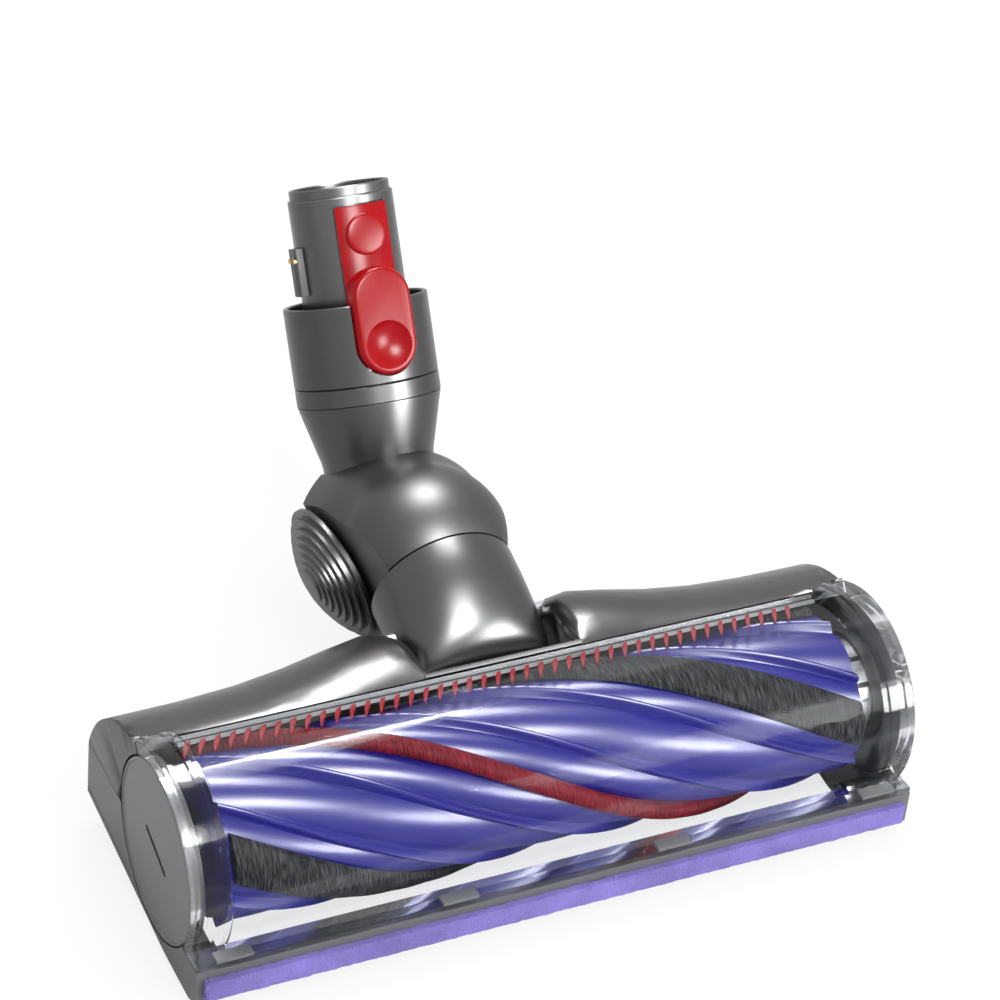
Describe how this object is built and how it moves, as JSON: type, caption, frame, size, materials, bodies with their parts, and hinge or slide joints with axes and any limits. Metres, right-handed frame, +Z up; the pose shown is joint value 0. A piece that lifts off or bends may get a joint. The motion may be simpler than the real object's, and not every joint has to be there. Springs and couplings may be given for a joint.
{
  "type": "vacuum powerhead",
  "caption": "Motorised vacuum floor head: ribbed brush roller under a clear cover, two-hump rear housing, pitching and swivelling neck on two cambered wheels, and a quick-release connector.",
  "frame": {"origin": "centre of the footprint on the floor, under the middle of the whole part", "axes": "+X along the brush roller, +Y from the front edge to the neck, +Z up"},
  "size_m": [0.25, 0.2256, 0.1593],
  "materials": {
    "clear_shell": "clear plastic, polished",
    "clip_grey": "smooth",
    "housing_dark": "satin metallic dark grey",
    "housing_grey": "fine satin grey",
    "steel": "machined",
    "board_green": "solder resist",
    "sole_grey": "fine matt grey",
    "felt": "short dense pile",
    "cap_grey": "satin grey",
    "seal_rubber": "matt",
    "roller_blue": "glossy with pearl sheen",
    "bristle_black": "carbon filaments",
    "bristle_red": "nylon filaments",
    "plug_dark": "matt",
    "motor_steel": "rolled steel",
    "comb_red": "smooth",
    "metallic": "satin metallic grey",
    "hose_black": "matt",
    "wheel_grey": "satin grey",
    "ring_grey": "satin",
    "connector_grey": "satin light grey",
    "gold": "plated",
    "latch_red": "glossy",
    "tyre_grey": "matt"
  },
  "bodies": {
    "head": {"clear_cover": "clear_shell", "cover_clips": "clip_grey", "rear_cover": "housing_dark", "lower_housing": "housing_grey", "case_screws": "steel", "control_board": "board_green", "sole_plate": "sole_grey", "sole_screws": "steel", "front_felt": "felt", "hair_comb": "comb_red", "motor_mount": "plug_dark", "motor_case": "motor_steel", "gearbox_case": "housing_grey", "drive_end_bearing": "plug_dark", "pivot_pin_left": "steel", "pivot_pin_right": "steel", "sole_roller_pins": "steel"},
    "cap": {"end_cap": "cap_grey", "end_cap_seal": "seal_rubber", "end_bearing": "steel"},
    "brush": {"brush_core": "roller_blue", "black_bristles": "bristle_black", "red_bristles": "bristle_red", "brush_plug": "plug_dark", "stub_shaft": "steel", "drive_hub": "plug_dark", "motor_shaft": "steel"},
    "neck_drum": {"neck_tube": "metallic", "air_hose": "hose_black"},
    "swivel": {"yoke": "metallic", "swivel_ring": "plug_dark", "wheel_axle_left": "steel", "wheel_axle_right": "steel", "neck_pin_left": "steel", "neck_pin_right": "steel"},
    "left_wheel": {"wheel_left": "wheel_grey"},
    "right_wheel": {"wheel_right": "wheel_grey"},
    "upper_neck": {"neck_cone": "metallic", "neck_ring": "ring_grey", "collar": "metallic", "connector_tube": "connector_grey", "contact_block": "plug_dark", "contact_pins": "gold", "latch_pin": "steel", "latch_spring": "steel"},
    "latch": {"release_latch": "latch_red"},
    "sole_roller_1": {"roller_front_left": "tyre_grey"},
    "sole_roller_2": {"roller_front_right": "tyre_grey"},
    "sole_roller_3": {"roller_rear_left": "tyre_grey"},
    "sole_roller_4": {"roller_rear_right": "tyre_grey"}
  },
  "joints": [
    {"name": "brush_spin", "type": "hinge", "parent": "head", "child": "brush", "pos_m": [0, -0.07286, 0.035], "axis": [1, 0, 0], "continuous": true},
    {"name": "cap_turn", "type": "hinge", "parent": "head", "child": "cap", "pos_m": [0, -0.07286, 0.035], "axis": [1, 0, 0], "range_deg": [0, 90]},
    {"name": "neck_pitch", "type": "hinge", "parent": "head", "child": "neck_drum", "pos_m": [0, -0.02286, 0.0528], "axis": [1, 0, 0], "range_deg": [-17, 40]},
    {"name": "neck_swivel", "type": "hinge", "parent": "neck_drum", "child": "swivel", "pos_m": [0, -0.02286, 0.0528], "axis": [0, 0.9703, 0.2419], "range_deg": [-90, 90]},
    {"name": "upper_neck_tilt", "type": "hinge", "parent": "swivel", "child": "upper_neck", "pos_m": [0, 0.03321, 0.04001], "axis": [1, 0, 0], "range_deg": [-50, 0]},
    {"name": "wheel_left_spin", "type": "hinge", "parent": "swivel", "child": "left_wheel", "pos_m": [-0.021, 0.03321, 0.04001], "axis": [0.9511, 0.1564, 0.2665], "continuous": true},
    {"name": "wheel_right_spin", "type": "hinge", "parent": "swivel", "child": "right_wheel", "pos_m": [0.021, 0.03321, 0.04001], "axis": [0.9511, -0.1564, -0.2665], "continuous": true},
    {"name": "latch_press", "type": "hinge", "parent": "upper_neck", "child": "latch", "pos_m": [0, 0.04925, 0.10885], "axis": [-1, 0, 0], "range_deg": [0, 1.1], "stiffness_Nm_per_rad": 4, "deforming": ["latch_spring"]},
    {"name": "sole_roller_front_left_spin", "type": "hinge", "parent": "head", "child": "sole_roller_1", "pos_m": [-0.116, -0.09186, 0.0045], "axis": [1, 0, 0], "continuous": true},
    {"name": "sole_roller_front_right_spin", "type": "hinge", "parent": "head", "child": "sole_roller_2", "pos_m": [0.116, -0.09186, 0.0045], "axis": [1, 0, 0], "continuous": true},
    {"name": "sole_roller_rear_left_spin", "type": "hinge", "parent": "head", "child": "sole_roller_3", "pos_m": [-0.116, -0.03286, 0.0045], "axis": [1, 0, 0], "continuous": true},
    {"name": "sole_roller_rear_right_spin", "type": "hinge", "parent": "head", "child": "sole_roller_4", "pos_m": [0.116, -0.03286, 0.0045], "axis": [1, 0, 0], "continuous": true}
  ]
}
